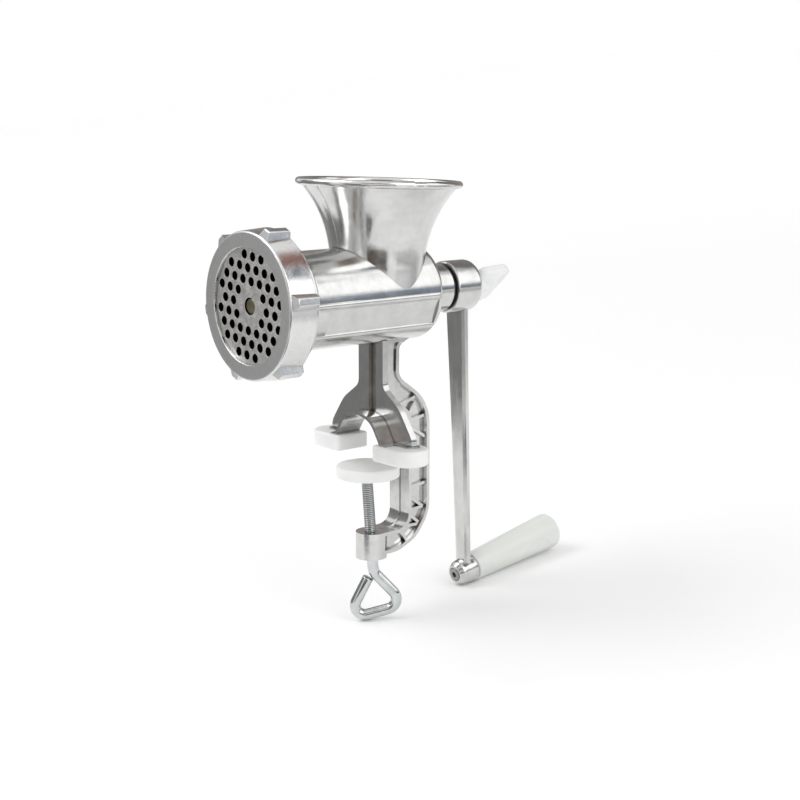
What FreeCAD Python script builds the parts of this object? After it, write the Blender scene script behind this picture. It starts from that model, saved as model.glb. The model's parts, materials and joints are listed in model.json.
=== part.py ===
import FreeCAD, Part
import math
import os

os.makedirs("parts", exist_ok=True)

V = FreeCAD.Vector
X_AXIS = V(1, 0, 0)
Y_AXIS = V(0, 1, 0)
Z_AXIS = V(0, 0, 1)

# Sizes are in mm. The barrel runs along Y with its plate end at -Y, Z is up,
# X = 0 is the mirror plane, and z = 0 is the underside of the jaw pads.

running_gap = 0.3
shaft_fit = 0.05
press_fit = 0.02
thread_fit = 0.1

# Barrel
axis_height = 82.2
barrel_r = 24.4
bore_r = 21.0
bore_rear_y = 24.0
bore_length = 83.0
rear_wall = 6.5
shoulder_round = 4.5
neck_r = 12.5
neck_length = 16.6
neck_round = 2.0
collar_r = 33.0
collar_length = 15.3
collar_cone = 6.0
chamber_r = 28.5
chamber_depth = 8.5
seat_depth = 3.8
bead_r = 1.7
bead_height = 0.8
lower_bead_angle = -41.0
panel_depth = 1.33
panel_width = 14.0
panel_angle = -22.0
panel_front_margin = 8.0

# Hopper
hopper_y = 4.6
hopper_tilt = 2.2
hopper_neck_r = 24.0
hopper_wall = 3.6
hopper_neck_height = 14.0
hopper_flare_height = 41.7
hopper_rim_r = 40.6
hopper_rim_width = 3.6
rim_bead_r = 1.9

# Stem, legs and arch
stem_front_y = 0.8
stem_thickness = 3.4
stem_half_width = 9.7
stem_rib_width = 2.8
stem_rib_depth = 2.3
waist_x = 9.8
waist_z = 35.1
waist_round = 6.0
hip_x = 22.5
hip_z = 26.4
hip_round = 20.0
leg_outer_x = 32.5
knee_z = 12.4
knee_round = 8.0
crown_z = 21.5
arch_shoulder_x = 10.2
arch_shoulder_z = 19.3
arch_round = 12.0
arch_foot_x = 19.2
arch_foot_z = 5.8
band_thickness = 1.6
band_front = 8.0
band_rear = 7.0

# Feet and jaw pads
foot_ledge = 0.5
foot_heel_width = 3.4
foot_toe_x = 30.3
foot_toe_r = 4.2
pad_thickness = 8.2
pad_floor = 2.5
pad_inner_x = 13.5
pad_toe_x = 31.0
pad_r = 10.0
pad_edge = 1.2
pocket_fit = 0.1

# Clamp frame
frame_width = 15.6
frame_neck_y = 13.0
frame_neck_top_z = 56.0
frame_neck_low_z = 39.6
frame_neck_round = 8.0
spine_outer_y = 34.0
spine_shoulder_z = 24.3
spine_shoulder_round = 24.0
spine_inner_y = 19.8
throat_round = 7.0
heel_high_z = -34.8
heel_high_round = 18.0
heel_mid_y = 25.3
heel_mid_z = -47.2
heel_mid_round = 18.0
heel_low_y = 12.5
heel_low_round = 20.0
arm_top_z = -41.3
arm_depth = 11.5
arm_round = 8.0
flange_width = 1.9
recess_depth = 3.0
recess_edge = ((11.1, 25.3), (15.3, 36.8))
neck_hollow_depth = 1.0
neck_hollow_low_z = 20.0
lattice_height = 2.0
lattice_width = 1.6
parting_width = 1.3
parting_height = 0.6
LATTICE = (
    ((24.8, 27.8), (13.4, 23.6)),
    ((24.8, 24.9), (20.5, 18.7)),
    ((32.4, 17.5), (21.4, 15.4)),
    ((21.4, 12.3), (32.4, 5.4)),
    ((21.4, -20.4), (32.6, -18.7)),
    ((21.4, -25.3), (30.2, -31.6)),
    ((30.2, -31.6), (21.4, -32.4)),
    ((21.4, -34.9), (28.5, -40.8)),
    ((28.5, -40.8), (18.6, -40.4)),
    ((14.2, -41.5), (19.9, -49.0)),
)

# Clamp screw and its boss
boss_r = 8.15
boss_height = 13.8
boss_y = 0.9
screw_r = 3.0
rod_r = 2.93
screw_tilt = 4.5
screw_tip = 39.3
loop_azimuth = 50.2
loop_drop = 15.4
loop_bend = 8.0
loop_right = 15.8
loop_right_drop = 34.6
loop_right_bend = 5.8
loop_left = -15.7
loop_left_drop = 41.4
loop_left_bend = 5.2
loop_end = -2.8
loop_end_drop = 18.5
pressure_pad_r = 16.4
pressure_pad_thickness = 6.0
pressure_pad_y = -1.2
pressure_pad_edge = 1.0
jaw_opening = 5.8

# Ring nut
ring_width = 14.35
ring_lip = 1.85
ring_lip_r = 28.0
ring_front_r = 35.8
ring_rear_r = 36.8
ring_bevel = 1.2
lug_count = 6
lug_angle = 8.0
lug_height = 3.0
lug_root_width = 8.6
lug_top_width = 3.6
lug_setback = 1.0
lug_slope = 1.2
lug_round = 0.8

# Plate
plate_r = 31.0
plate_thickness = 5.0
plate_hole_r = 2.25
plate_hole_pitch = 6.9
plate_hole_turn = 52.5
key_r = 1.2
key_depth = 4.0
key_inset = 0.3

# Knife
knife_r = 26.0
knife_thickness = 6.7
knife_hub_r = 9.5
knife_square = 9.0
blade_width = 8.5
blade_bevel = 3.5
blade_count = 4

# Worm
worm_core_front_r = 11.0
worm_core_rear_r = 8.5
flight_gap = 0.4
flight_pitch = 26.0
flight_root = 6.0
flight_tip = 2.6
shank_r = 7.0
square_size = 9.8
square_fit = 0.15
stud_r = 3.0
stud_engagement = 16.0
front_pin_r = 3.9
front_pin_depth = 16.0
front_pin_recess = 0.5
thrust_washer_r = 13.0
thrust_washer_thickness = 1.5

# Neck bush
bush_r = 8.5
bush_flange_r = 11.3
bush_flange_thickness = 1.9

# Crank
hub_r = 13.6
hub_length = 18.2
hub_round = 4.0
hub_front_round = 1.0
crank_radius = 157.9
arm_root_y = 59.7
arm_root_drop = 8.5
arm_end_y = 65.9
arm_root_half = (6.9, 2.5)
arm_end_half = (4.9, 1.9)
arm_root_flat_share = 0.86
arm_end_flat_share = 0.5
arm_side_share = 0.44
knuckle_r = 7.5
knuckle_nose_r = 4.9
knuckle_shoulder_r = 6.7
knuckle_front = 6.6
knuckle_rear = 5.4
knuckle_nose_length = 2.4
knuckle_taper_length = 8.0
knuckle_nose_round = 0.5
knuckle_shoulder_round = 4.0
knuckle_rear_round = 0.6
knuckle_recess_r = 3.9
knuckle_recess_depth = 1.4
handle_tilt = 9.7

# Wing screw
washer_thickness = 0.8
washer_r = 9.0
wing_boss_r = 8.0
wing_boss_tip_r = 4.0
wing_boss_length = 12.5
wing_angle = 40.5
wing_thickness = 5.0
wing_length = 20.3
wing_front_half = 12.5
wing_rear_half = 14.7
wing_corner = 5.0
wing_edge = 1.2
stud_in_wing = 9.0

# Grip
spindle_r = 2.5
spindle_head_r = 3.7
spindle_head_height = 1.8
spindle_socket = 3.0
spindle_socket_depth = 1.2
grip_start_r = 7.75
grip_end_r = 10.15
grip_length = 61.6
grip_start_edge = 1.0
grip_end_edge = 2.6
grip_recess_r = 6.2
grip_recess_depth = 9.0
grip_cap_thickness = 2.6
nut_size = 8.0
nut_thickness = 4.0
spindle_washer_r = 5.2
spindle_washer_thickness = 1.0

# Places that follow from the sizes above
barrel_rear_y = bore_rear_y + rear_wall
neck_rear_y = barrel_rear_y + neck_length
chamber_y = bore_rear_y - bore_length
seat_y = chamber_y - chamber_depth
collar_front_y = seat_y - seat_depth
collar_rear_y = collar_front_y + collar_length
plate_front_y = seat_y - plate_thickness
ring_front_y = plate_front_y - ring_lip
ring_rear_y = ring_front_y + ring_width
hub_front_y = neck_rear_y + bush_flange_thickness + running_gap
hub_rear_y = hub_front_y + hub_length
worm_rear_y = bore_rear_y - thrust_washer_thickness - running_gap
worm_front_y = chamber_y - running_gap
flight_r = bore_r - flight_gap
boss_top_z = arm_top_z - press_fit
boss_mid_z = boss_top_z - boss_height / 2
knuckle_z = axis_height - crank_radius
rim_z = axis_height + hopper_neck_height + hopper_flare_height


def along_y(r, y0, y1, x=0.0, z=axis_height):
    return Part.makeCylinder(r, y1 - y0, V(x, y0, z), Y_AXIS)


def box(x0, x1, y0, y1, z0, z1):
    return Part.makeBox(x1 - x0, y1 - y0, z1 - z0, V(x0, y0, z0))


def rounded_wire(points, place, closed=True):
    """Wire through (a, b, radius) corners. place turns (a, b) into a point."""
    count = len(points)
    corners = []
    for i, (a, b, r) in enumerate(points):
        here = V(a, b, 0)
        if r == 0:
            corners.append((here, None, here))
            continue
        back = V(*points[i - 1][:2], 0) - here
        ahead = V(*points[(i + 1) % count][:2], 0) - here
        back.normalize()
        ahead.normalize()
        half = back.getAngle(ahead) / 2
        middle = back + ahead
        middle.normalize()
        reach = r / math.tan(half)
        nearest = here + middle * (r / math.sin(half) - r)
        corners.append((here + back * reach, nearest, here + ahead * reach))
    edges = []
    for i, (start, middle, end) in enumerate(corners):
        if middle is not None:
            arc = Part.Arc(place(start.x, start.y), place(middle.x, middle.y), place(end.x, end.y))
            edges.append(arc.toShape())
        if i + 1 == count and not closed:
            break
        follower = corners[(i + 1) % count][0]
        if (follower - end).Length > 1e-6:
            edges.append(Part.makeLine(place(end.x, end.y), place(follower.x, follower.y)))
    return Part.Wire(edges)


def prism_x(points, x0, x1):
    face = Part.Face(rounded_wire(points, lambda y, z: V(x0, y, z)))
    return face.extrude(V(x1 - x0, 0, 0))


def prism_y(points, y0, y1):
    face = Part.Face(rounded_wire(points, lambda x, z: V(x, y0, z)))
    return face.extrude(V(0, y1 - y0, 0))


def prism_z(points, z0, z1):
    face = Part.Face(rounded_wire(points, lambda x, y: V(x, y, z0)))
    return face.extrude(V(0, 0, z1 - z0))


def turned_y(points, z=axis_height):
    """Solid turned about the Y axis at height z from (y, radius, corner) points."""
    face = Part.Face(rounded_wire(points, lambda y, r: V(0, y, z + r)))
    return face.revolve(V(0, 0, z), Y_AXIS, 360)


def mirrored(shape):
    return shape.mirror(V(0, 0, 0), X_AXIS)


def fused(shapes):
    return shapes[0].multiFuse(shapes[1:]).removeSplitter()


def about_barrel(shape, degrees):
    turned = shape.copy()
    turned.rotate(V(0, 0, axis_height), Y_AXIS, -degrees)
    return turned


def save(name, shape):
    if len(shape.Solids) == 1:
        shape = shape.Solids[0]
    shape.exportStep("parts/%s.step" % name)


def barrel_outside():
    tube = turned_y([
        (collar_front_y, 0, 0),
        (collar_front_y, collar_r, 0.6),
        (collar_rear_y, collar_r, 1.0),
        (collar_rear_y + collar_cone, barrel_r, 3.0),
        (barrel_rear_y, barrel_r, shoulder_round),
        (barrel_rear_y, neck_r, neck_round),
        (neck_rear_y, neck_r, 0.6),
        (neck_rear_y, 0, 0),
    ])
    bead_start = collar_rear_y + collar_cone - 1
    bead_end = barrel_rear_y - shoulder_round
    bead = along_y(bead_r, bead_start, bead_end, x=barrel_r + bead_height - bead_r)
    panel = box(
        barrel_r - panel_depth, barrel_r + 5, bead_start + panel_front_margin, bead_end,
        axis_height - panel_width / 2, axis_height + panel_width / 2,
    )
    for side in (False, True):
        cut = about_barrel(panel, panel_angle)
        beads = [bead, about_barrel(bead, lower_bead_angle)]
        if side:
            cut = mirrored(cut)
            beads = [mirrored(b) for b in beads]
        tube = tube.cut(cut)
        tube = fused([tube] + beads)
    return tube


def barrel_inside():
    return fused([
        along_y(bore_r, chamber_y - 1, bore_rear_y),
        along_y(chamber_r, seat_y - 1, chamber_y),
        along_y(plate_r + running_gap, collar_front_y - 1, seat_y),
        along_y(bush_r + press_fit, bore_rear_y - 1, neck_rear_y + 1),
    ])


def flare_radius(narrow, wide):
    step = wide - narrow
    return (step ** 2 + hopper_flare_height ** 2) / (2 * step)


def hopper_shape(narrow, wide, low, top_extra):
    """Solid of revolution that opens from narrow to wide along a tangent arc."""
    bend = flare_radius(narrow, wide)
    start_z = axis_height + hopper_neck_height
    sweep = math.asin(hopper_flare_height / bend)
    half = sweep / 2
    centre = narrow + bend
    place = lambda r, z: V(r, hopper_y, z)
    arc = Part.Arc(
        place(narrow, start_z),
        place(centre - bend * math.cos(half), start_z + bend * math.sin(half)),
        place(wide, rim_z),
    ).toShape()
    corners = [
        place(wide, rim_z), place(wide, rim_z + top_extra), place(0, rim_z + top_extra),
        place(0, low), place(narrow, low), place(narrow, start_z),
    ]
    lines = []
    for first, second in zip(corners[:-1], corners[1:]):
        if (second - first).Length > 1e-6:
            lines.append(Part.makeLine(first, second))
    face = Part.Face(Part.Wire([arc] + lines))
    return face.revolve(V(0, hopper_y, 0), Z_AXIS, 360)


def tilted(shape):
    leaning = shape.copy()
    leaning.rotate(V(0, hopper_y, axis_height), X_AXIS, -hopper_tilt)
    return leaning


def hopper_outside():
    cone = hopper_shape(hopper_neck_r, hopper_rim_r, axis_height, 0)
    ring = Part.makeTorus(hopper_rim_r - 0.5, rim_bead_r, V(0, hopper_y, rim_z), Z_AXIS)
    return tilted(fused([cone, ring]))


def hopper_inside():
    narrow = hopper_neck_r - hopper_wall
    return tilted(hopper_shape(narrow, hopper_rim_r - hopper_rim_width, axis_height, 5))


def arch_path(lift):
    """Underside of the arch at +X from the crown to the foot, moved outward by lift."""
    slope = math.atan2(arch_shoulder_z - arch_foot_z, arch_foot_x - arch_shoulder_x)
    rise = math.atan2(crown_z - arch_shoulder_z, arch_shoulder_x)
    turn = (slope - rise) / 2
    middle = rise + turn
    reach = lift / math.cos(turn)
    foot_turn = (math.pi / 2 - slope) / 2
    return [
        (0, crown_z + lift / math.cos(rise)),
        (arch_shoulder_x + reach * math.sin(middle), arch_shoulder_z + reach * math.cos(middle)),
        (arch_foot_x + lift, arch_foot_z + lift * math.tan(foot_turn)),
        (arch_foot_x + lift, pad_floor),
    ]


def leg_web():
    crown, shoulder, foot, toe = arch_path(band_thickness / 2)
    top_z = axis_height - (barrel_r + bore_r) / 2
    return prism_y([
        (0, top_z, 0),
        (stem_half_width, top_z, 0),
        (waist_x, waist_z, waist_round),
        (hip_x, hip_z, hip_round),
        (leg_outer_x, knee_z, knee_round),
        (leg_outer_x, pad_floor, 0),
        (toe[0], toe[1], 0),
        (foot[0], foot[1], 1.0),
        (shoulder[0], shoulder[1], arch_round),
        (crown[0], crown[1], 0),
    ], stem_front_y, stem_front_y + stem_thickness)


def arch_band():
    under = arch_path(0)
    over = arch_path(band_thickness)
    return prism_y([
        (under[0][0], under[0][1], 0),
        (under[1][0], under[1][1], arch_round),
        (under[2][0], under[2][1], 1.0),
        (under[3][0], under[3][1], 0),
        (over[3][0], over[3][1], 0),
        (over[2][0], over[2][1], 1.0),
        (over[1][0], over[1][1], arch_round),
        (over[0][0], over[0][1], 0),
    ], -band_front, band_rear)


def foot(spare, top_z):
    """The casting's foot at +X. With spare > 0 it is the pad's pocket."""
    crown, shoulder, low, toe = arch_path(0)
    slope = (arch_shoulder_z - arch_foot_z) / (arch_foot_x - arch_shoulder_x)
    heel_x = arch_foot_x - (pad_thickness + foot_ledge - arch_foot_z) / slope
    heel = box(
        heel_x - spare, arch_foot_x + foot_heel_width + spare,
        -band_front - spare, band_rear + spare, pad_floor, top_z,
    )
    middle_y = stem_front_y + stem_thickness / 2
    toe_r = foot_toe_r + spare
    tongue = box(heel_x, foot_toe_x, middle_y - toe_r, middle_y + toe_r, pad_floor, top_z)
    nose = Part.makeCylinder(toe_r, top_z - pad_floor, V(foot_toe_x, middle_y, pad_floor), Z_AXIS)
    return fused([heel, tongue, nose])


def frame_corners():
    return [
        (stem_front_y + stem_thickness / 2, axis_height - (barrel_r + bore_r) / 2, 0),
        (frame_neck_y + 8, axis_height - (barrel_r + bore_r) / 2, 0),
        (frame_neck_y + 0.4, frame_neck_top_z, frame_neck_round / 2),
        (frame_neck_y, frame_neck_low_z, frame_neck_round),
        (spine_outer_y, spine_shoulder_z, spine_shoulder_round),
        (spine_outer_y, heel_high_z, heel_high_round),
        (heel_mid_y, heel_mid_z, heel_mid_round),
        (heel_low_y, arm_top_z - arm_depth, heel_low_round),
        (boss_y, arm_top_z - arm_depth, 0),
        (boss_y, arm_top_z, 0),
        (spine_inner_y, arm_top_z, arm_round),
        (spine_inner_y, crown_z + band_thickness / 2, throat_round),
        (stem_front_y + stem_thickness / 2, crown_z + band_thickness / 2, 0),
    ]


def frame_recess(side):
    """Pocket in one flank of the clamp frame, with its raised lattice left standing."""
    floor_x = frame_width / 2 - recess_depth
    outline = rounded_wire(frame_corners(), lambda y, z: V(floor_x, y, z))
    inner = Part.Face(outline.makeOffset2D(-flange_width))
    pocket = inner.extrude(V(recess_depth + 1, 0, 0))
    (y0, z0), (y1, z1) = recess_edge
    far = 200
    beyond = box(0, far, -far, far, 0, far)
    beyond.rotate(V(0, 0, 0), X_AXIS, math.degrees(math.atan2(z1 - z0, y1 - y0)))
    beyond.translate(V(0, y0, z0))
    pocket = pocket.cut(beyond)
    for (y0, z0), (y1, z1) in LATTICE:
        length = math.hypot(y1 - y0, z1 - z0)
        bar = box(floor_x - 1, floor_x + lattice_height, 0, length, -lattice_width / 2, lattice_width / 2)
        bar.rotate(V(0, 0, 0), X_AXIS, math.degrees(math.atan2(z1 - z0, y1 - y0)))
        bar.translate(V(0, y0, z0))
        pocket = pocket.cut(bar)
    return pocket if side > 0 else mirrored(pocket)


def neck_hollow(side):
    """Shallow hollow in the frame's neck that deepens towards the rear rim."""
    face_x = frame_width / 2
    front_y = stem_front_y + stem_thickness
    rear_y = frame_neck_y - flange_width
    outline = rounded_wire(frame_corners(), lambda y, z: V(face_x - neck_hollow_depth, y, z))
    inner = Part.Face(outline.makeOffset2D(-flange_width)).extrude(V(neck_hollow_depth + 1, 0, 0))
    (y0, z0), (y1, z1) = recess_edge
    edge_slope = (y1 - y0) / (z1 - z0)
    low_y = y0 + edge_slope * (neck_hollow_low_z - z0)
    high_z = axis_height - (barrel_r + bore_r) / 2
    front = prism_x([
        (front_y, neck_hollow_low_z, 0),
        (low_y, neck_hollow_low_z, 0),
        (low_y + edge_slope * (high_z - neck_hollow_low_z), high_z, 0),
        (front_y, high_z, 0),
    ], 0, face_x + 1)
    slope = neck_hollow_depth / (rear_y - front_y)
    wedge = prism_z([
        (face_x, front_y, 0),
        (face_x + 1, front_y, 0),
        (face_x + 1, rear_y + 20, 0),
        (face_x - slope * (rear_y + 20 - front_y), rear_y + 20, 0),
    ], neck_hollow_low_z, high_z)
    hollow = inner.common(front).common(wedge)
    return hollow if side > 0 else mirrored(hollow)


def clamp_frame():
    corners = frame_corners()
    solid = prism_x(corners, -frame_width / 2, frame_width / 2)
    solid = solid.cut(frame_recess(1)).cut(frame_recess(-1))
    solid = solid.cut(neck_hollow(1)).cut(neck_hollow(-1))
    outline = rounded_wire(corners, lambda y, z: V(-parting_width / 2, y, z))
    ridge = Part.Face(outline.makeOffset2D(parting_height)).extrude(V(parting_width, 0, 0))
    ridge = ridge.common(box(
        -5, 5, boss_y + boss_r - 2, (spine_inner_y + spine_outer_y) / 2,
        arm_top_z - 3, crown_z,
    ))
    return fused([solid, ridge])


def screw_place(shape):
    """Moves a shape built on the Z axis onto the clamp screw's tilted axis."""
    placed = shape.copy()
    placed.rotate(V(0, 0, 0), X_AXIS, screw_tilt)
    placed.translate(V(0, boss_y, boss_mid_z))
    return placed


def body_casting():
    leg = fused([leg_web(), arch_band(), foot(0, pad_thickness + foot_ledge)])
    rib_top = axis_height - (barrel_r + bore_r) / 2
    rib = box(
        -stem_rib_width / 2, stem_rib_width / 2, stem_front_y - stem_rib_depth, stem_front_y + 1,
        crown_z + band_thickness / 2, rib_top,
    )
    boss = Part.makeCylinder(boss_r, boss_height, V(0, boss_y, boss_top_z - boss_height), Z_AXIS)
    solid = fused([barrel_outside(), hopper_outside(), leg, mirrored(leg), rib, clamp_frame(), boss])
    solid = solid.cut(barrel_inside()).cut(hopper_inside())
    solid = solid.cut(screw_place(Part.makeCylinder(screw_r + thread_fit, 60, V(0, 0, -30), Z_AXIS)))
    return solid.cut(key_pin(press_fit))


def key_pin(spare):
    """Pin in the plate's seat that keeps the plate from turning."""
    z = axis_height + plate_r + running_gap - key_inset - key_r
    return along_y(key_r + spare, plate_front_y + 1, seat_y + key_depth, z=z)


def jaw_pad():
    pad = prism_z([
        (pad_inner_x, -pad_r, 2.0),
        (pad_toe_x, -pad_r, 0),
        (pad_toe_x, pad_r, 0),
        (pad_inner_x, pad_r, 2.0),
    ], 0, pad_thickness)
    nose = Part.makeCylinder(pad_r, pad_thickness, V(pad_toe_x, 0, 0), Z_AXIS)
    pad = fused([pad, nose])
    rims = [e for e in pad.Edges if e.BoundBox.ZLength < 1e-3]
    pad = pad.makeFillet(pad_edge, rims)
    return pad.cut(foot(pocket_fit, pad_thickness + 1))


def clamp_screw():
    turn = loop_azimuth
    place = lambda a, b: V(a, 0, b)
    path = rounded_wire([
        (0, 0, 0),
        (0, -loop_drop, loop_bend),
        (loop_right, -loop_right_drop, loop_right_bend),
        (loop_left, -loop_left_drop, loop_left_bend),
        (loop_end, -loop_end_drop, 0),
    ], place, closed=False)
    section = Part.Wire(Part.makeCircle(rod_r, V(0, 0, 0), Z_AXIS))
    rod = path.makePipeShell([section], True, False)
    threaded = Part.makeCylinder(screw_r, screw_tip + boss_height / 2, V(0, 0, -boss_height / 2), Z_AXIS)
    tip_edge = [e for e in threaded.Edges if e.BoundBox.ZMin > screw_tip - 1e-3]
    threaded = threaded.makeChamfer(0.6, tip_edge)
    rod = fused([rod, threaded])
    rod.rotate(V(0, 0, 0), Z_AXIS, turn)
    return screw_place(rod)


def pressure_pad():
    top = -jaw_opening
    pad = Part.makeCylinder(
        pressure_pad_r, pressure_pad_thickness,
        V(0, pressure_pad_y, top - pressure_pad_thickness), Z_AXIS,
    )
    rims = [e for e in pad.Edges if e.BoundBox.ZLength < 1e-3]
    pad = pad.makeFillet(pressure_pad_edge, rims)
    return pad.cut(screw_place(Part.makeCylinder(screw_r + thread_fit, screw_tip, V(0, 0, 0), Z_AXIS)))


def ring_nut():
    ring = turned_y([
        (ring_front_y, ring_lip_r, 0.5),
        (ring_front_y, ring_front_r, ring_bevel),
        (ring_rear_y, ring_rear_r, 0.5),
        (ring_rear_y, collar_r + running_gap, 0),
        (plate_front_y, collar_r + running_gap, 0),
        (plate_front_y, ring_lip_r, 0),
    ])
    start = ring_front_y + lug_setback
    root = ring_front_r - 1
    top = ring_rear_r + lug_height
    along = prism_x([
        (start, root, 0),
        (start + lug_slope, top, lug_round),
        (ring_rear_y, top, lug_round),
        (ring_rear_y, root, 0),
    ], -lug_root_width, lug_root_width)
    across = prism_y([
        (-lug_root_width / 2, root, 0),
        (-lug_top_width / 2, top, lug_round),
        (lug_top_width / 2, top, lug_round),
        (lug_root_width / 2, root, 0),
    ], start - 1, ring_rear_y + 1)
    lug = along.common(across)
    lug.translate(V(0, 0, axis_height))
    lugs = [about_barrel(lug, lug_angle - 90 + k * 360 / lug_count) for k in range(lug_count)]
    return fused([ring] + lugs)


def hole_plate():
    plate = along_y(plate_r, plate_front_y, seat_y)
    drills = [along_y(front_pin_r + running_gap, plate_front_y - 1, seat_y + 1)]
    turn = math.radians(plate_hole_turn)
    reach = 5
    for i in range(-reach, reach + 1):
        for j in range(-reach, reach + 1):
            a = plate_hole_pitch * (i + j / 2)
            b = plate_hole_pitch * j * math.sqrt(3) / 2
            r = math.hypot(a, b)
            if not 1.5 * plate_hole_pitch < r < 3.8 * plate_hole_pitch:
                continue
            x = a * math.cos(turn) - b * math.sin(turn)
            z = a * math.sin(turn) + b * math.cos(turn)
            drills.append(along_y(plate_hole_r, plate_front_y - 1, seat_y + 1, x, axis_height + z))
    notch_low = axis_height + plate_r - key_inset - 2 * key_r
    drills.append(box(
        -key_r - running_gap, key_r + running_gap, plate_front_y - 1, seat_y + 1,
        notch_low, axis_height + plate_r + 1,
    ))
    return plate.cut(Part.makeCompound(drills))


def cross_knife():
    front = seat_y + running_gap
    rear = front + knife_thickness
    pieces = [along_y(knife_hub_r, front, rear)]
    half = blade_width / 2
    for k in range(blade_count):
        blade = Part.Face(Part.makePolygon([
            V(0, front, -half), V(0, front, half), V(0, rear, half - blade_bevel),
            V(0, rear, -half + blade_bevel / 2), V(0, front, -half),
        ])).extrude(V(knife_r, 0, 0))
        blade.translate(V(0, 0, axis_height))
        pieces.append(about_barrel(blade, k * 360 / blade_count))
    knife = fused(pieces).common(along_y(knife_r, front - 1, rear + 1))
    half = knife_square / 2 + square_fit
    return knife.cut(box(-half, half, front - 1, rear + 1, axis_height - half, axis_height + half))


def worm():
    length = worm_rear_y - worm_front_y
    core = turned_y([
        (worm_front_y, 0, 0),
        (worm_front_y, worm_core_front_r, 0),
        (worm_rear_y, worm_core_rear_r, 0),
        (worm_rear_y, shank_r, 0),
        (hub_front_y, shank_r, 0),
        (hub_front_y, 0, 0),
    ])
    base_r = worm_core_rear_r - 2
    helix = Part.makeHelix(flight_pitch, length, base_r)
    section = Part.makePolygon([
        V(base_r, 0, -flight_root / 2), V(flight_r + 1, 0, -flight_tip / 2),
        V(flight_r + 1, 0, flight_tip / 2), V(base_r, 0, flight_root / 2),
        V(base_r, 0, -flight_root / 2),
    ])
    flight = Part.Wire(helix).makePipeShell([section], True, True)
    flight.rotate(V(0, 0, 0), X_AXIS, -90)
    flight.translate(V(0, worm_front_y, axis_height))
    flight = flight.common(along_y(flight_r, worm_front_y, worm_rear_y))
    half = square_size / 2
    tail = box(-half, half, hub_front_y - 1, hub_rear_y - 1, axis_height - half, axis_height + half)
    half = knife_square / 2
    knife_end = seat_y + running_gap + 0.5
    nose = box(-half, half, knife_end, worm_front_y + 1, axis_height - half, axis_height + half)
    solid = fused([core, flight, tail, nose])
    solid = solid.cut(along_y(stud_r + thread_fit, hub_rear_y - stud_engagement - 2, hub_rear_y + 1))
    return solid.cut(along_y(front_pin_r + press_fit, knife_end - 1, worm_front_y + front_pin_depth))


def worm_front_pin():
    pin = along_y(front_pin_r, plate_front_y + front_pin_recess, worm_front_y + front_pin_depth - 0.5)
    tip = [e for e in pin.Edges if e.BoundBox.YMax < plate_front_y + front_pin_recess + 1e-3]
    return pin.makeChamfer(0.6, tip)


def thrust_washer():
    start = bore_rear_y - thrust_washer_thickness
    disc = along_y(thrust_washer_r, start, bore_rear_y)
    return disc.cut(along_y(shank_r + running_gap, start - 1, bore_rear_y + 1))


def neck_bush():
    flange_end = neck_rear_y + bush_flange_thickness
    bush = fused([
        along_y(bush_r, bore_rear_y, neck_rear_y + 0.5),
        along_y(bush_flange_r, neck_rear_y, flange_end),
    ])
    return bush.cut(along_y(shank_r + shaft_fit, bore_rear_y - 1, flange_end + 1))


def arm_section(y, z, half, flat_share):
    wide, thick = half
    flat = wide * flat_share
    side = thick * arm_side_share
    ring = [
        (wide, side), (flat, thick), (-flat, thick), (-wide, side),
        (-wide, -side), (-flat, -thick), (flat, -thick), (wide, -side), (wide, side),
    ]
    return Part.makePolygon([V(a, y + b, z) for a, b in ring])


def handle_place(shape):
    """Moves a shape built on the Y axis onto the tilted handle axis."""
    placed = shape.copy()
    placed.rotate(V(0, 0, 0), X_AXIS, handle_tilt)
    placed.translate(V(0, arm_end_y, knuckle_z))
    return placed


def crank_arm():
    hub = turned_y([
        (hub_front_y, 0, 0),
        (hub_front_y, hub_r, hub_front_round),
        (hub_rear_y, hub_r, hub_round),
        (hub_rear_y, 0, 0),
    ])
    arm = Part.makeLoft([
        arm_section(arm_root_y, axis_height - arm_root_drop, arm_root_half, arm_root_flat_share),
        arm_section(arm_end_y, knuckle_z, arm_end_half, arm_end_flat_share),
    ], True, True)
    shoulder = -knuckle_front + knuckle_nose_length
    knuckle = turned_y([
        (-knuckle_front, 0, 0),
        (-knuckle_front, knuckle_nose_r, knuckle_nose_round),
        (shoulder, knuckle_shoulder_r, knuckle_shoulder_round),
        (shoulder + knuckle_taper_length, knuckle_r, knuckle_shoulder_round),
        (knuckle_rear, knuckle_r, knuckle_rear_round),
        (knuckle_rear, 0, 0),
    ], z=0)
    solid = fused([hub, arm, handle_place(knuckle)])
    recess = along_y(knuckle_recess_r, -knuckle_front - 5, -knuckle_front + knuckle_recess_depth, z=0)
    solid = solid.cut(handle_place(recess))
    half = square_size / 2 + square_fit
    hole = box(-half, half, hub_front_y - 1, hub_rear_y + 1, axis_height - half, axis_height + half)
    bolt = handle_place(along_y(spindle_r + press_fit, -knuckle_front - 1, knuckle_rear + 1, z=0))
    return solid.cut(hole).cut(bolt)


def wing_washer():
    disc = along_y(washer_r, hub_rear_y, hub_rear_y + washer_thickness)
    return disc.cut(along_y(stud_r + running_gap, hub_rear_y - 1, hub_rear_y + 5))


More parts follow.
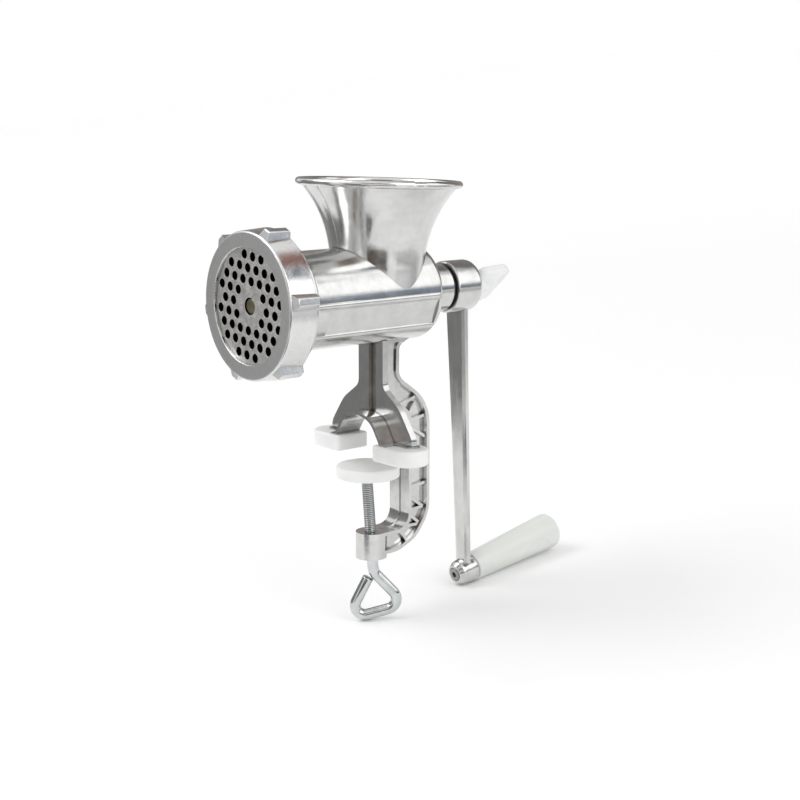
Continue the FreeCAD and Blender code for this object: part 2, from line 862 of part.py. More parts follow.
def wing_knob():
    start = hub_rear_y + washer_thickness
    end = start + wing_length
    paddle = prism_z([
        (-wing_front_half, start, wing_corner),
        (wing_front_half, start, wing_corner),
        (wing_rear_half, end, wing_corner),
        (-wing_rear_half, end, wing_corner),
    ], axis_height - wing_thickness / 2, axis_height + wing_thickness / 2)
    flats = [e for e in paddle.Edges if e.BoundBox.ZLength < 1e-3]
    paddle = paddle.makeFillet(wing_edge, flats)
    boss = turned_y([
        (start, 0, 0),
        (start, wing_boss_r, 1.5),
        (start + wing_boss_length, wing_boss_tip_r, 1.5),
        (start + wing_boss_length, 0, 0),
    ])
    knob = about_barrel(fused([paddle, boss]), wing_angle)
    return knob.cut(along_y(stud_r + press_fit, start - 1, start + stud_in_wing))


def wing_stud():
    start = hub_rear_y - stud_engagement
    end = hub_rear_y + washer_thickness + stud_in_wing
    return along_y(stud_r, start, end)


def grip_ends():
    start = knuckle_rear + running_gap
    return start, start + grip_length


def handle_grip():
    start, end = grip_ends()
    grip = turned_y([
        (start, 0, 0),
        (start, grip_start_r, grip_start_edge),
        (end, grip_end_r, grip_end_edge),
        (end, 0, 0),
    ], z=0)
    grip = grip.cut(along_y(spindle_r + shaft_fit, start - 1, end, z=0))
    return handle_place(grip.cut(along_y(grip_recess_r, end - grip_recess_depth, end + 1, z=0)))


def grip_end_cap():
    start, end = grip_ends()
    return handle_place(along_y(grip_recess_r - press_fit, end - grip_cap_thickness, end, z=0))


def hexagon(size, y):
    corner = size / 2 / math.cos(math.pi / 6)
    angles = [math.radians(60 * k) for k in range(7)]
    return Part.Face(Part.makePolygon([V(corner * math.cos(a), y, corner * math.sin(a)) for a in angles]))


def handle_spindle():
    start, end = grip_ends()
    seat = -knuckle_front + knuckle_recess_depth
    top = seat - spindle_head_height
    tail = end - grip_recess_depth + 2 * running_gap + spindle_washer_thickness + nut_thickness
    shank = along_y(spindle_r, seat, tail, z=0)
    head = along_y(spindle_head_r, top, seat, z=0)
    rim = [e for e in head.Edges if e.BoundBox.YMax < top + 1e-3]
    head = head.makeFillet(0.6, rim)
    key = hexagon(spindle_socket, top).extrude(V(0, spindle_socket_depth, 0))
    return handle_place(fused([shank, head]).cut(key))


def spindle_washer():
    start, end = grip_ends()
    low = end - grip_recess_depth + running_gap
    disc = along_y(spindle_washer_r, low, low + spindle_washer_thickness, z=0)
    return handle_place(disc.cut(along_y(spindle_r + press_fit, low - 1, low + 5, z=0)))


def spindle_nut():
    start, end = grip_ends()
    low = end - grip_recess_depth + running_gap + spindle_washer_thickness
    nut = hexagon(nut_size, low).extrude(V(0, nut_thickness, 0))
    return handle_place(nut.cut(along_y(spindle_r + press_fit, low - 1, low + nut_thickness + 1, z=0)))


save("body_casting", body_casting())
save("plate_locating_pin", key_pin(0))
save("thrust_washer", thrust_washer())
save("neck_bush", neck_bush())
save("jaw_pad_right", jaw_pad())
save("jaw_pad_left", mirrored(jaw_pad()))
save("pressure_pad", pressure_pad())
save("clamp_screw", clamp_screw())
save("ring_nut", ring_nut())
save("hole_plate", hole_plate())
save("cross_knife", cross_knife())
save("worm", worm())
save("worm_front_pin", worm_front_pin())
save("crank_arm", crank_arm())
save("wing_washer", wing_washer())
save("wing_knob", wing_knob())
save("wing_stud", wing_stud())
save("handle_grip", handle_grip())
save("grip_end_cap", grip_end_cap())
save("handle_spindle", handle_spindle())
save("spindle_washer", spindle_washer())
save("spindle_nut", spindle_nut())
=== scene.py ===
import bpy
import json
import math
from mathutils import Matrix, Quaternion, Vector

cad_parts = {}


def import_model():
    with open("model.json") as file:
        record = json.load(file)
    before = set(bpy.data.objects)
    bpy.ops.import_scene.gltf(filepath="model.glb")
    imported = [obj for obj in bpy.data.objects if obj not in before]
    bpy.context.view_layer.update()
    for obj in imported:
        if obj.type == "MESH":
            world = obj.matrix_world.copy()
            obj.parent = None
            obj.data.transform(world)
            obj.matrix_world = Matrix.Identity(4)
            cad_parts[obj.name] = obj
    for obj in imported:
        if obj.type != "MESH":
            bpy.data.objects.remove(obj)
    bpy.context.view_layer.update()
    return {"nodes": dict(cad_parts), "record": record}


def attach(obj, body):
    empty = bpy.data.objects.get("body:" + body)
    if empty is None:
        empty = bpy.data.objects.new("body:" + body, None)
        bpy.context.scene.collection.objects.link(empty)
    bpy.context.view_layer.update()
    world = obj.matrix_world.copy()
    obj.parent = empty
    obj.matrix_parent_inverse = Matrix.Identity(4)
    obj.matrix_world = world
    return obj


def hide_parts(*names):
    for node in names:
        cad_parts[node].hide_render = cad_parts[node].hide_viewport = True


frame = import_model()
nodes = frame["nodes"]
joints = {joint["name"]: joint for joint in frame["record"]["behaviour"]["joints"]}

MM = 0.001


# Node helpers
def material(name, color, metallic=0.0, roughness=0.4):
    m = bpy.data.materials.new(name)
    m.use_nodes = True
    shader = m.node_tree.nodes["Principled BSDF"]
    shader.inputs["Base Color"].default_value = (*color, 1)
    shader.inputs["Metallic"].default_value = metallic
    shader.inputs["Roughness"].default_value = roughness
    return m, m.node_tree, shader


def add(tree, kind, **values):
    """A new node. A value goes to the input of its name, or else to the setting."""
    node = tree.nodes.new(kind)
    for key, value in values.items():
        if key in node.inputs:
            node.inputs[key].default_value = value
        else:
            setattr(node, key, value)
    return node


def noise(tree, scale, detail, roughness, stretch=(1, 1, 1)):
    """Noise fixed to the piece. A stretch under 1 draws it out along that axis."""
    coords = add(tree, "ShaderNodeTexCoord")
    mapping = add(tree, "ShaderNodeMapping")
    mapping.inputs["Scale"].default_value = stretch
    tree.links.new(coords.outputs["Object"], mapping.inputs["Vector"])
    tex = add(tree, "ShaderNodeTexNoise", Scale=scale, Detail=detail, Roughness=roughness)
    tree.links.new(mapping.outputs["Vector"], tex.inputs["Vector"])
    return tex.outputs["Fac"]


def ramp(tree, source, low, high, start=0.35, end=0.65):
    """Maps a value onto low to high, while it rises from start to end."""
    node = add(tree, "ShaderNodeMapRange")
    node.inputs["From Min"].default_value = start
    node.inputs["From Max"].default_value = end
    node.inputs["To Min"].default_value = low
    node.inputs["To Max"].default_value = high
    tree.links.new(source, node.inputs["Value"])
    return node.outputs["Result"]


def mix(tree, factor, first, second):
    """Colours or colour outputs, blended by a 0 to 1 output."""
    node = tree.nodes.new("ShaderNodeMix")
    node.data_type = "RGBA"
    for socket, value in (("A", first), ("B", second)):
        if isinstance(value, tuple):
            node.inputs[socket].default_value = (*value, 1)
        else:
            tree.links.new(value, node.inputs[socket])
    tree.links.new(factor, node.inputs["Factor"])
    return node.outputs["Result"]


def shade(color, share):
    return tuple(c * share for c in color)


def grey(value):
    return (value, value, value)


def bump(tree, shader, height, distance, strength, previous=None):
    node = add(tree, "ShaderNodeBump", Distance=distance, Strength=strength)
    tree.links.new(height, node.inputs["Height"])
    if previous is not None:
        tree.links.new(previous, node.inputs["Normal"])
    tree.links.new(node.outputs["Normal"], shader.inputs["Normal"])
    return node.outputs["Normal"]


def corner_shade_mask(tree, distance, start=0.30, end=0.85):
    """Mask for painted shade: 0 in a corner or recess narrower than distance, 1 in the open."""
    node = add(tree, "ShaderNodeAmbientOcclusion", Distance=distance)
    node.samples = 8
    return ramp(tree, node.outputs["AO"], 0, 1, start, end)


def facing(tree, axis):
    """How squarely a face looks along the part's X, Y or Z axis, from 0 to 1."""
    coords = add(tree, "ShaderNodeTexCoord")
    split = add(tree, "ShaderNodeSeparateXYZ")
    tree.links.new(coords.outputs["Normal"], split.inputs[0])
    size = add(tree, "ShaderNodeMath", operation="ABSOLUTE")
    tree.links.new(split.outputs[axis], size.inputs[0])
    return size.outputs[0]


# Materials
def cast_aluminium(name, color, rough, streak=(1, 0.25, 1)):
    """Polished casting: drawn polish marks, faint waviness, fine pores, painted shade in the
    corners.
    """
    m, tree, shader = material(name, color, 1.0, rough[0])
    marks = noise(tree, scale=260, detail=5, roughness=0.65, stretch=streak)
    tree.links.new(ramp(tree, marks, *rough), shader.inputs["Roughness"])
    stains = ramp(tree, noise(tree, scale=130, detail=5, roughness=0.65), 0, 1)
    tone = mix(tree, stains, color, shade(color, 0.88))
    # Painted shade: the colour drops to 0.42 of itself in corners and recesses
    tone = mix(tree, corner_shade_mask(tree, 2.0 * MM, start=0.35, end=0.80), shade(color, 0.42), tone)
    tree.links.new(tone, shader.inputs["Base Color"])
    waves = noise(tree, scale=48, detail=2, roughness=0.4)
    wavy = bump(tree, shader, waves, distance=0.35 * MM, strength=0.5)
    pores = noise(tree, scale=900, detail=3, roughness=0.6, stretch=streak)
    bump(tree, shader, pores, distance=0.02 * MM, strength=0.5, previous=wavy)
    return m


def ring_aluminium():
    """Turned satin face, brighter and smoother flank."""
    color = (0.74, 0.74, 0.735)
    m, tree, shader = material("ring_aluminium", color, 1.0, 0.3)
    face = ramp(tree, facing(tree, "Y"), 0, 1, start=0.75, end=0.95)
    smooth = ramp(tree, noise(tree, scale=200, detail=4, roughness=0.6), 0.20, 0.28)
    satin = ramp(tree, noise(tree, scale=700, detail=4, roughness=0.6), 0.38, 0.46)
    rough = add(tree, "ShaderNodeMix")
    tree.links.new(face, rough.inputs["Factor"])
    tree.links.new(smooth, rough.inputs["A"])
    tree.links.new(satin, rough.inputs["B"])
    tree.links.new(rough.outputs["Result"], shader.inputs["Roughness"])
    stains = ramp(tree, noise(tree, scale=500, detail=5, roughness=0.7), 0, 1)
    tone = mix(tree, stains, color, shade(color, 0.93))
    # Painted shade: the colour drops to 0.15 of itself in corners and recesses, such as the lip's
    # inner wall
    tone = mix(tree, corner_shade_mask(tree, 2.5 * MM, start=0.4, end=0.9), shade(color, 0.15), tone)
    tree.links.new(tone, shader.inputs["Base Color"])
    grain = noise(tree, scale=1400, detail=3, roughness=0.6)
    bump(tree, shader, grain, distance=0.015 * MM, strength=0.5)
    return m


def plate_steel():
    """Sintered grey grain on the face, and near-black painted shade on the cut walls in the holes.
    """
    m, tree, shader = material("plate_steel", (0.7, 0.7, 0.68), 1.0, 0.45)
    dark_grain = (0.50, 0.495, 0.475)
    light_grain = (0.86, 0.85, 0.83)
    grain = noise(tree, scale=1100, detail=5, roughness=0.7)
    tone = mix(tree, ramp(tree, grain, 0, 1, start=0.3, end=0.7), dark_grain, light_grain)
    # Painted shade: faces that don't look along Y, the cut walls of the holes, turn near black
    face = ramp(tree, facing(tree, "Y"), 0, 1, start=0.5, end=0.8)
    tone = mix(tree, face, grey(0.015), tone)
    tree.links.new(tone, shader.inputs["Base Color"])
    rough = ramp(tree, noise(tree, scale=300, detail=4, roughness=0.6), 0.42, 0.58)
    tree.links.new(rough, shader.inputs["Roughness"])
    bump(tree, shader, grain, distance=0.05 * MM, strength=0.7)
    return m


def steel(name, color, rough):
    """Metal with worn patches, dull spots, fine grain and painted shade in the corners."""
    m, tree, shader = material(name, color, 1.0, rough)
    marks = noise(tree, scale=260, detail=5, roughness=0.6)
    tree.links.new(ramp(tree, marks, rough * 0.75, rough * 1.35), shader.inputs["Roughness"])
    stains = ramp(tree, noise(tree, scale=180, detail=4, roughness=0.6), 0, 1)
    tone = mix(tree, stains, color, shade(color, 0.88))
    # Painted shade: the colour drops to 0.22 of itself in corners and recesses
    tone = mix(tree, corner_shade_mask(tree, 1.2 * MM), shade(color, 0.22), tone)
    tree.links.new(tone, shader.inputs["Base Color"])
    grain = noise(tree, scale=1800, detail=3, roughness=0.6)
    bump(tree, shader, grain, distance=0.02 * MM, strength=0.5)
    return m


def plastic(name, color, rough, subsurface, depth, streak=(1, 1, 1)):
    """Moulded plastic that light enters, with faint flow marks."""
    m, tree, shader = material(name, color, 0.0, rough)
    shader.inputs["Subsurface Weight"].default_value = subsurface
    shader.inputs["Subsurface Scale"].default_value = depth
    shader.inputs["Subsurface Radius"].default_value = (1.0, 1.0, 0.9)
    shader.inputs["IOR"].default_value = 1.5
    flow = noise(tree, scale=90, detail=2, roughness=0.4, stretch=streak)
    marks = ramp(tree, flow, 0, 1, start=0.3, end=0.7)
    tree.links.new(mix(tree, marks, color, shade(color, 0.92)), shader.inputs["Base Color"])
    worn = noise(tree, scale=30, detail=1, roughness=0.3)
    tree.links.new(ramp(tree, worn, rough * 0.85, rough * 1.2), shader.inputs["Roughness"])
    grain = noise(tree, scale=500, detail=2, roughness=0.4)
    bump(tree, shader, grain, distance=0.01 * MM, strength=0.4)
    return m


ALUMINIUM = (0.68, 0.68, 0.67)
ALONG_ARM = (1, 1, 0.12)
ALONG_GRIP = (1, 0.03, 1)
WHITE = (0.95, 0.96, 0.955)
PAD_WHITE = (0.97, 0.97, 0.96)
GRIP_WHITE = (0.83, 0.85, 0.81)

MATERIALS = {
    "cast_aluminium": cast_aluminium("cast_aluminium", ALUMINIUM, (0.13, 0.22)),
    "ring_aluminium": ring_aluminium(),
    "plate_steel": plate_steel(),
    # The knife is dark steel, darkened further as painted shade, since it shows only through the
    # plate's holes
    "knife_steel": steel("knife_steel", (0.30, 0.30, 0.29), 0.4),
    "worm_aluminium": cast_aluminium("worm_aluminium", (0.45, 0.45, 0.44), (0.3, 0.5)),
    "pin_brass": steel("pin_brass", (0.27, 0.25, 0.16), 0.42),
    "white_plastic": plastic("white_plastic", WHITE, 0.32, subsurface=0.35, depth=5 * MM),
    "pad_plastic": plastic("pad_plastic", PAD_WHITE, 0.34, subsurface=0.4, depth=4 * MM),
    "grip_plastic": plastic(
        "grip_plastic", GRIP_WHITE, 0.30, subsurface=0.4, depth=5 * MM, streak=ALONG_GRIP
    ),
    "black_plastic": plastic("black_plastic", grey(0.012), 0.45, subsurface=0.0, depth=0.0),
    "zinc_steel": steel("zinc_steel", (0.64, 0.66, 0.66), 0.15),
}

# Each node looks as its slot does, but for two that the photo shows otherwise
LOOKS = {part["node"]: MATERIALS[part["material_slot"]] for part in frame["record"]["subparts"]}
LOOKS["crank_arm"] = cast_aluminium("crank_aluminium", ALUMINIUM, (0.15, 0.25), ALONG_ARM)
LOOKS["handle_spindle"] = steel("spindle_steel", (0.36, 0.36, 0.35), 0.3)

# Surfaces carried over from the CAD, with lengths in millimetres and angles in degrees
WELD_DISTANCE = 0.002
SHARP_ANGLE = 28
SHARP_ANGLES = {"crank_arm": 18}
EDGE_WIDTHS = {
    "body_casting": 0.3, "ring_nut": 0.4, "hole_plate": 0.2, "crank_arm": 0.35,
    "wing_knob": 0.3, "jaw_pad_left": 0.2, "jaw_pad_right": 0.2, "neck_bush": 0.2,
    "worm": 0.3, "cross_knife": 0.2, "wing_washer": 0.15, "worm_front_pin": 0.1,
    "handle_spindle": 0.15,
}


def soften(obj, width, sharp_angle):
    """Joins the imported corners, rounds the sharp edges and keeps flats flat."""
    for polygon in obj.data.polygons:
        polygon.use_smooth = True
    weld = obj.modifiers.new("weld", "WELD")
    weld.merge_threshold = WELD_DISTANCE * MM
    if width:
        edge = obj.modifiers.new("edge", "BEVEL")
        edge.width = width * MM
        edge.segments = 2
        edge.limit_method = "ANGLE"
        edge.angle_limit = math.radians(sharp_angle)
        edge.harden_normals = True
        edge.use_clamp_overlap = True
    normal = obj.modifiers.new("normal", "WEIGHTED_NORMAL")
    normal.keep_sharp = True
    normal.weight = 60


def dress_solids():
    for name, obj in nodes.items():
        obj.data.materials.clear()
        obj.data.materials.append(LOOKS[name])
        soften(obj, EDGE_WIDTHS.get(name, 0.0), SHARP_ANGLES.get(name, SHARP_ANGLE))


# The hopper on the barrel as the CAD has them, in millimetres and degrees
AXIS_HEIGHT = joints["crank_turn"]["pos_m"][2] / MM
BARREL_R = 24.4
HOPPER_Y = 4.6
HOPPER_TILT = 2.2
NECK_R = 24.0
NECK_HEIGHT = 14.0
FLARE_HEIGHT = 41.7
RIM_R = 40.6
FLARE_BEND = ((RIM_R - NECK_R) ** 2 + FLARE_HEIGHT ** 2) / (2 * (RIM_R - NECK_R))
# How far off the barrel and the wall a point may lie, and the lowest height of the line
BARREL_REACH = 0.1
WALL_REACH = 0.2
LOWEST_FOOT = 2.0


def on_hopper_foot(point):
    """Whether a point lies where the hopper's wall meets the barrel."""
    x, y, z = point / MM
    z -= AXIS_HEIGHT
    if abs(math.hypot(x, z) - BARREL_R) > BARREL_REACH or z < LOWEST_FOOT:
        return False
    upright = Matrix.Rotation(math.radians(HOPPER_TILT), 3, "X") @ Vector((x, y - HOPPER_Y, z))
    climb = max(upright.z - NECK_HEIGHT, 0.0)
    wall = NECK_R + FLARE_BEND - math.sqrt(FLARE_BEND ** 2 - climb ** 2)
    return abs(math.hypot(upright.x, upright.y) - wall) < WALL_REACH


def crease_hopper_foot():
    """Keeps the line between hopper and barrel crisp, and rounds the other sharp edges."""
    casting = nodes["body_casting"]
    mesh = casting.data
    on_line = [on_hopper_foot(v.co) for v in mesh.vertices]
    # Neighbouring CAD faces share no corners here, so they are matched by rounded places
    corners = [tuple(round(c / MM, 3) for c in v.co) for v in mesh.vertices]
    sides = {}
    for polygon in mesh.polygons:
        for a, b in polygon.edge_keys:
            normals = sides.setdefault(frozenset((corners[a], corners[b])), [])
            normals.append(polygon.normal.copy())
    weight = mesh.attributes.new("bevel_weight_edge", "FLOAT", "EDGE")
    for edge in mesh.edges:
        a, b = edge.vertices
        edge.use_edge_sharp = on_line[a] and on_line[b]
        normals = sides[frozenset((corners[a], corners[b]))]
        if len(normals) == 2 and not edge.use_edge_sharp:
            bend = normals[0].angle(normals[1])
            weight.data[edge.index].value = float(bend > math.radians(SHARP_ANGLE))
    casting.modifiers["edge"].limit_method = "WEIGHT"


# New pieces
def piece(name, points, faces, body, slot, stands_for=()):
    """A new mesh from points in millimetres, which rides on a body."""
    mesh = bpy.data.meshes.new(name)
    mesh.from_pydata([p * MM for p in points], [], faces)
    mesh.validate()
    for polygon in mesh.polygons:
        polygon.use_smooth = True
    mesh.materials.append(MATERIALS[slot])
    obj = bpy.data.objects.new(name, mesh)
    bpy.context.scene.collection.objects.link(obj)
    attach(obj, body)
    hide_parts(*stands_for)
    return obj


def skin(rings):
    """Quads between rings of equally many points, with both ends closed."""
    count = len(rings[0])
    points = [p for ring in rings for p in ring]
    faces = []
    for i in range(len(rings) - 1):
        for j in range(count):
            k = (j + 1) % count
            a, b = i * count, (i + 1) * count
            faces.append((a + j, a + k, b + k, b + j))
    faces.append(tuple(reversed(range(count))))
    faces.append(tuple(range(len(points) - count, len(points))))
    return points, faces


# The clamp screw as the CAD has it, in millimetres and degrees, and its thread
SCREW_MIDDLE = Vector((0, 0.9, -48.22))
SCREW_TILT = 4.5
SCREW_R = 3.0
SCREW_TIP = 39.3
SCREW_LOW = -5.0
SCREW_CHAMFER = 0.6
THREAD_ROOT_R = 2.48
THREAD_PITCH = 1.0
# Half the crest's width and one flank's width, as shares of the pitch
THREAD_CREST = 0.10
THREAD_FLANK = 0.32
ROD_R = 2.93
LOOP_AZIMUTH = 50.2
# Corners of the bent rod: across, up and bend radius
LOOP = [
    (0, SCREW_LOW, 0), (0, -15.4, 8.0), (15.8, -34.6, 5.8), (-15.7, -41.4, 5.2), (-2.8, -18.5, 0),
]


def thread_radius(turns):
    """The thread's profile over a turn: flat crest, smooth flanks, narrow root."""
    from_crest = abs(turns % 1.0 - 0.5)
    drop = min(max((from_crest - THREAD_CREST) / THREAD_FLANK, 0.0), 1.0)
    return SCREW_R - (SCREW_R - THREAD_ROOT_R) * (1 - math.cos(math.pi * drop)) / 2


def threaded_rings(around=40, rows_per_turn=12):
    rows = int((SCREW_TIP - SCREW_LOW) / THREAD_PITCH * rows_per_turn)
    rings = []
    for i in range(rows + 1):
        z = SCREW_LOW + (SCREW_TIP - SCREW_LOW) * i / rows
        chamfer_r = SCREW_R - SCREW_CHAMFER + max(SCREW_TIP - z, 0.0)
        ring = []
        for j in range(around):
            angle = 2 * math.pi * j / around
            r = min(thread_radius(z / THREAD_PITCH - j / around), chamfer_r)
            ring.append(Vector((r * math.cos(angle), r * math.sin(angle), z)))
        rings.append(ring)
    return rings


def rounded_path(corners, step=0.12):
    """Points of the bent rod's centre line in its own plane, a step of angle apart in a bend."""
    path = [Vector(corners[0][:2])]
    for before, corner, after in zip(corners, corners[1:], corners[2:]):
        here = Vector(corner[:2])
        radius = corner[2]
        back = (Vector(before[:2]) - here).normalized()
        ahead = (Vector(after[:2]) - here).normalized()
        half = back.angle(ahead) / 2
        centre = here + (back + ahead).normalized() * radius / math.sin(half)
        start = here + back * radius / math.tan(half) - centre
        sweep = math.pi - 2 * half
        side = -1 if back.cross(ahead) > 0 else 1
        steps = max(2, int(sweep / step))
        for i in range(steps + 1):
            path.append(centre + Matrix.Rotation(side * sweep * i / steps, 2) @ start)
    path.append(Vector(corners[-1][:2]))
    return path


def circle(centre, across, radius, around):
    ring = []
    for j in range(around):
        angle = 2 * math.pi * j / around
        flat = centre + across * radius * math.cos(angle)
        ring.append(Vector((flat.x, radius * math.sin(angle), flat.y)))
    return ring


def rod_rings(path, around=32, edge=0.5, edge_share=0.3):
    """Circles along the path, the last ones drawn in to round the cut end."""
    rings = []
    for i, here in enumerate(path):
        ahead = path[min(i + 1, len(path) - 1)] - path[max(i - 1, 0)]
        ahead.normalize()
        across = Vector((-ahead.y, ahead.x))
        rings.append(circle(here, across, ROD_R, around))
    last = path[-1]
    rings[-1] = circle(last - ahead * edge, across, ROD_R, around)
    near_r = ROD_R - edge * edge_share
    rings.append(circle(last - ahead * edge * edge_share, across, near_r, around))
    rings.append(circle(last, across, ROD_R - edge, around))
    return rings


def screw_frame():
    """From the screw's own axis to its place in the clamp."""
    turn = Matrix.Rotation(math.radians(LOOP_AZIMUTH), 4, "Z")
    lean = Matrix.Rotation(math.radians(SCREW_TILT), 4, "X")
    return Matrix.Translation(SCREW_MIDDLE) @ lean @ turn


def clamp_screw(crease_angle=50):
    """The rod with its helical thread and its thumb loop."""
    place = screw_frame()
    points, faces = skin(threaded_rings())
    more, loop_faces = skin(rod_rings(rounded_path(LOOP)))
    faces += [tuple(k + len(points) for k in f) for f in loop_faces]
    points = [place @ p for p in points + more]
    obj = piece("clamp_screw_rod", points, faces, "screw", "zinc_steel", ["clamp_screw"])
    obj.data.set_sharp_from_angle(angle=math.radians(crease_angle))


# The mould seams on the hopper, in millimetres: half widths, depth, height, share of the flare
SEAM_FOOT = 0.45
SEAM_CREST = 0.2025
SEAM_DEPTH = 0.3
SEAM_HEIGHT = 0.22
SEAM_TOP = 0.955


def hopper_wall(share):
    """Radius, height above the barrel's axis and lean of the wall, from 0 at the neck to 1."""
    angle = share * math.asin(FLARE_HEIGHT / FLARE_BEND)
    radius = NECK_R + FLARE_BEND * (1 - math.cos(angle))
    return radius, NECK_HEIGHT + FLARE_BEND * math.sin(angle), angle


def mould_seam(name, side, start, rows=40):
    """Raised line where the mould's halves met, up the wall from a share of the flare."""
    rings = []
    lean = Matrix.Rotation(math.radians(-HOPPER_TILT), 3, "X")
    for i in range(rows + 1):
        r, z, angle = hopper_wall(start + (SEAM_TOP - start) * i / rows)
        out = Vector((0, side * math.cos(angle), -math.sin(angle)))
        base = Vector((0, side * r, z))
        top = SEAM_HEIGHT * min(i, rows - i, 2) / 2
        foot = [(-SEAM_FOOT, -SEAM_DEPTH), (SEAM_FOOT, -SEAM_DEPTH)]
        profile = foot + [(SEAM_CREST, top), (-SEAM_CREST, top)]
        ring = [lean @ (base + out * h + Vector((w, 0, 0))) for w, h in profile]
        rings.append([p + Vector((0, HOPPER_Y, AXIS_HEIGHT)) for p in ring])
    points, faces = skin(rings)
    piece(name, points, faces, "casting", "cast_aluminium")


# The photo's camera: lens in pixels of the photo's width, places in millimetres
FOCAL_PIXELS = 1519.7
PHOTO_PIXELS = 800
FILM_WIDTH = 36
CAMERA_EYE = Vector((595.03, -476.01, 175.67))
CAMERA_TARGET = Vector((0, 20.32, 25.48))


def aim(obj, place, target):
    """Puts a camera or lamp at its place and turns it to the target."""
    obj.location = place
    obj.rotation_euler = (target - place).to_track_quat("-Z", "Y").to_euler()


def camera():
    data = bpy.data.cameras.new("camera")
    data.lens = FOCAL_PIXELS / PHOTO_PIXELS * FILM_WIDTH
    data.sensor_width = FILM_WIDTH
    data.clip_start = 0.01
    data.clip_end = 20
    obj = bpy.data.objects.new("camera", data)
    bpy.context.scene.collection.objects.link(obj)
    aim(obj, CAMERA_EYE * MM, CAMERA_TARGET * MM)
    bpy.context.scene.camera = obj


# The studio, in metres
LAMP_TARGET = Vector((0, 0.02, 0.03))
LAMP_SIZE = 0.9
WORLD_LIGHT = 0.66
FLOOR_HEIGHT = -90.9 * MM
FLOOR_SLOPE = math.radians(6.6)
FLOOR_SIZE = 8
FLOOR_NEAR_GLOW = 0.10
FLOOR_FAR_GLOW = 0.36
GLOW_START = 0.25
GLOW_END = 1.8
CARD_LIFT = 0.006


def lamp(name, place, power):
    data = bpy.data.lights.new(name, "AREA")
    data.shape = "SQUARE"
    data.size = LAMP_SIZE
    data.energy = power
    obj = bpy.data.objects.new(name, data)
    bpy.context.scene.collection.objects.link(obj)
    aim(obj, Vector(place), LAMP_TARGET)


def plane(name, width, depth):
    mesh = bpy.data.meshes.new(name)
    w, d = width / 2, depth / 2
    mesh.from_pydata([(-w, -d, 0), (w, -d, 0), (w, d, 0), (-w, d, 0)], [], [(0, 1, 2, 3)])
    obj = bpy.data.objects.new(name, mesh)
    bpy.context.scene.collection.objects.link(obj)
    return obj


def shown_rays(tree):
    """1 for camera, mirror and see-through rays, and 0 for the rays that light the object."""
    path = add(tree, "ShaderNodeLightPath")
    first = add(tree, "ShaderNodeMath", operation="MAXIMUM")
    second = add(tree, "ShaderNodeMath", operation="MAXIMUM")
    tree.links.new(path.outputs["Is Camera Ray"], first.inputs[0])
    tree.links.new(path.outputs["Is Glossy Ray"], first.inputs[1])
    tree.links.new(first.outputs[0], second.inputs[0])
    tree.links.new(path.outputs["Is Transmission Ray"], second.inputs[1])
    return second.outputs[0]


def world():
    w = bpy.data.worlds.new("studio")
    bpy.context.scene.world = w
    w.use_nodes = True
    tree = w.node_tree
    tree.nodes.clear()
    soft = add(tree, "ShaderNodeBackground", Color=(1, 1, 1, 1), Strength=WORLD_LIGHT)
    white = add(tree, "ShaderNodeBackground", Color=(1, 1, 1, 1), Strength=1.0)
    pick = add(tree, "ShaderNodeMixShader")
    out = add(tree, "ShaderNodeOutputWorld")
    tree.links.new(shown_rays(tree), pick.inputs["Fac"])
    tree.links.new(soft.outputs[0], pick.inputs[1])
    tree.links.new(white.outputs[0], pick.inputs[2])
    tree.links.new(pick.outputs[0], out.inputs["Surface"])


def floor():
    """The white table under the loop and the grip, which fades to the white behind it.

    The fading is a glow that only the camera, mirrors and clear pieces see.
    """
    obj = plane("floor", FLOOR_SIZE, FLOOR_SIZE)
    obj.location = (0, 0, FLOOR_HEIGHT)
    obj.rotation_euler = (FLOOR_SLOPE, 0, 0)
    m, tree, shader = material("floor", grey(0.92), 0.0, 0.8)
    shader.inputs["Specular IOR Level"].default_value = 0.2
    coords = add(tree, "ShaderNodeTexCoord")
    reach = add(tree, "ShaderNodeVectorMath", operation="LENGTH")
    tree.links.new(coords.outputs["Object"], reach.inputs[0])
    distance = reach.outputs["Value"]
    glow = ramp(tree, distance, FLOOR_NEAR_GLOW, FLOOR_FAR_GLOW, GLOW_START, GLOW_END)
    strength = add(tree, "ShaderNodeMath", operation="MULTIPLY")
    tree.links.new(glow, strength.inputs[0])
    tree.links.new(shown_rays(tree), strength.inputs[1])
    light = add(tree, "ShaderNodeEmission")
    tree.links.new(strength.outputs[0], light.inputs["Strength"])
    total = add(tree, "ShaderNodeAddShader")
    tree.links.new(shader.outputs[0], total.inputs[0])
    tree.links.new(light.outputs[0], total.inputs[1])
    tree.links.new(total.outputs[0], tree.nodes["Material Output"].inputs["Surface"])
    obj.data.materials.append(m)


def card(name, place, target, size, low, high, roll=0):
    """A studio card that only mirrors show, shaded from its lower to its upper edge."""
    width, depth = size
    obj = plane(name, width, depth)
    obj.location = place
    turn = (Vector(target) - Vector(place)).to_track_quat("Z", "Y")
    obj.rotation_euler = (turn @ Quaternion((0, 0, 1), math.radians(roll))).to_euler()
    m, tree, _ = material(name, grey(0))
    light = add(tree, "ShaderNodeEmission")
    coords = add(tree, "ShaderNodeTexCoord")
    split = add(tree, "ShaderNodeSeparateXYZ")
    tree.links.new(coords.outputs["Object"], split.inputs[0])
    rise = ramp(tree, split.outputs["Y"], 0, 1, -depth / 2, depth / 2)
    tree.links.new(mix(tree, rise, low, high), light.inputs["Color"])
    tree.links.new(light.outputs[0], tree.nodes["Material Output"].inputs["Surface"])
    obj.data.materials.append(m)
    obj.visible_camera = False
    obj.visible_shadow = False
    obj.visible_diffuse = False
    obj.visible_transmission = False


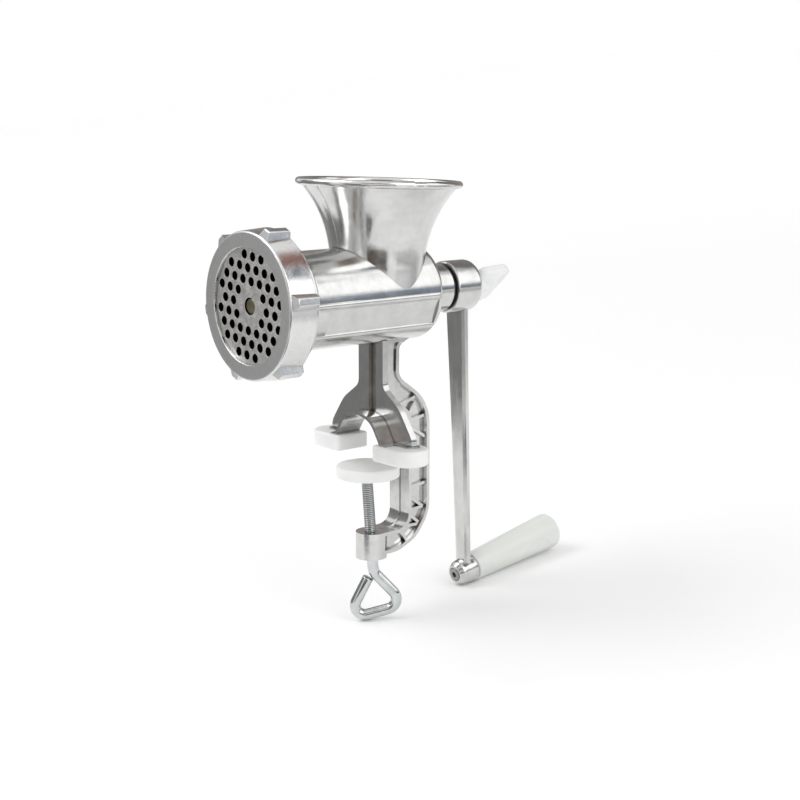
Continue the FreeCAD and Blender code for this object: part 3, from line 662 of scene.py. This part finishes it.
def floor_card(name, x, y, size, roll, low, high):
    """A card that lies just over the sloping floor, turned about its own middle."""
    place = Vector((x, y, FLOOR_HEIGHT + y * math.tan(FLOOR_SLOPE) + CARD_LIFT))
    up = Vector((0, -math.sin(FLOOR_SLOPE), math.cos(FLOOR_SLOPE)))
    card(name, place, place + up, size, low, high, roll)


# The cards: name, place, target, width and depth, colour of the lower and the upper edge
def side_cards():
    """Cards that stand round the object."""
    card("front_card", (-0.30, -0.28, 0.06), (0, -0.02, 0.06), (0.50, 0.42), grey(0.20), grey(0.32))
    card("near_card", (0.13, -0.48, 0.03), (0.03, 0, 0.04), (0.22, 0.36), grey(0.22), grey(0.30))
    card("side_card", (-0.60, -0.06, 0.02), (0, 0, 0.06), (0.50, 0.26), grey(0.26), grey(0.42))
    card("rear_card", (-0.48, 0.68, 0.48), (0, 0, 0.08), (1.8, 1.0), (0.40, 0.36, 0.34), grey(0.14))


def high_cards():
    """Cards above the height of the camera."""
    over_ring = (0.03, -0.06, 0.13)
    brown = ((0.18, 0.09, 0.07), (0.30, 0.12, 0.08))
    blue = ((0.05, 0.07, 0.12), (0.08, 0.10, 0.15))
    warm = (0.30, 0.24, 0.21)
    card("brown_card", (0.25, 0.32, 0.79), over_ring, (0.34, 0.30), *brown)
    card("blue_card", (0.50, 0.31, 0.66), over_ring, (0.26, 0.22), *blue)
    card("back_card", (0.76, -0.64, 0.62), (0, 0, 0.13), (0.8, 0.4), warm, warm)


def low_cards():
    """Cards low down, on the side that the camera sees."""
    olive = ((0.06, 0.045, 0.03), (0.14, 0.11, 0.08))
    fading = ((0.30, 0.28, 0.26), (0.04, 0.035, 0.035))
    horizon = ((0.01, 0.025, 0.055), (0.44, 0.50, 0.58))
    card("camera_card", (0.38, -0.46, -0.05), (0, 0, 0.1), (0.34, 0.20), *olive)
    card("low_card", (0.51, -0.26, -0.05), (0, 0, 0.1), (0.27, 0.20), *fading)
    card("horizon_card", (0.53, 0.42, 0.118), (0, 0, 0.08), (0.9, 0.14), *horizon)


dress_solids()
crease_hopper_foot()
clamp_screw()
mould_seam("hopper_front_seam", -1, 0.20)
mould_seam("hopper_rear_seam", 1, 0.24)
camera()
world()
floor()
lamp("key", (-0.55, -0.75, 1.05), 8.0)
lamp("fill", (1.1, 0.1, 0.75), 4.0)
side_cards()
high_cards()
low_cards()
card("soft_box", (0.80, 0.76, 0.70), (0, 0, 0.08), (1.2, 0.78), grey(1.5), grey(1.5))
floor_card("front_floor_card", 0.10, -0.30, (0.18, 0.24), 18, grey(0.22), grey(0.14))
floor_card("side_floor_card", 0.50, 0.41, (0.9, 0.42), -50, grey(0.80), grey(0.36))
bpy.context.scene.view_settings.view_transform = "Standard"
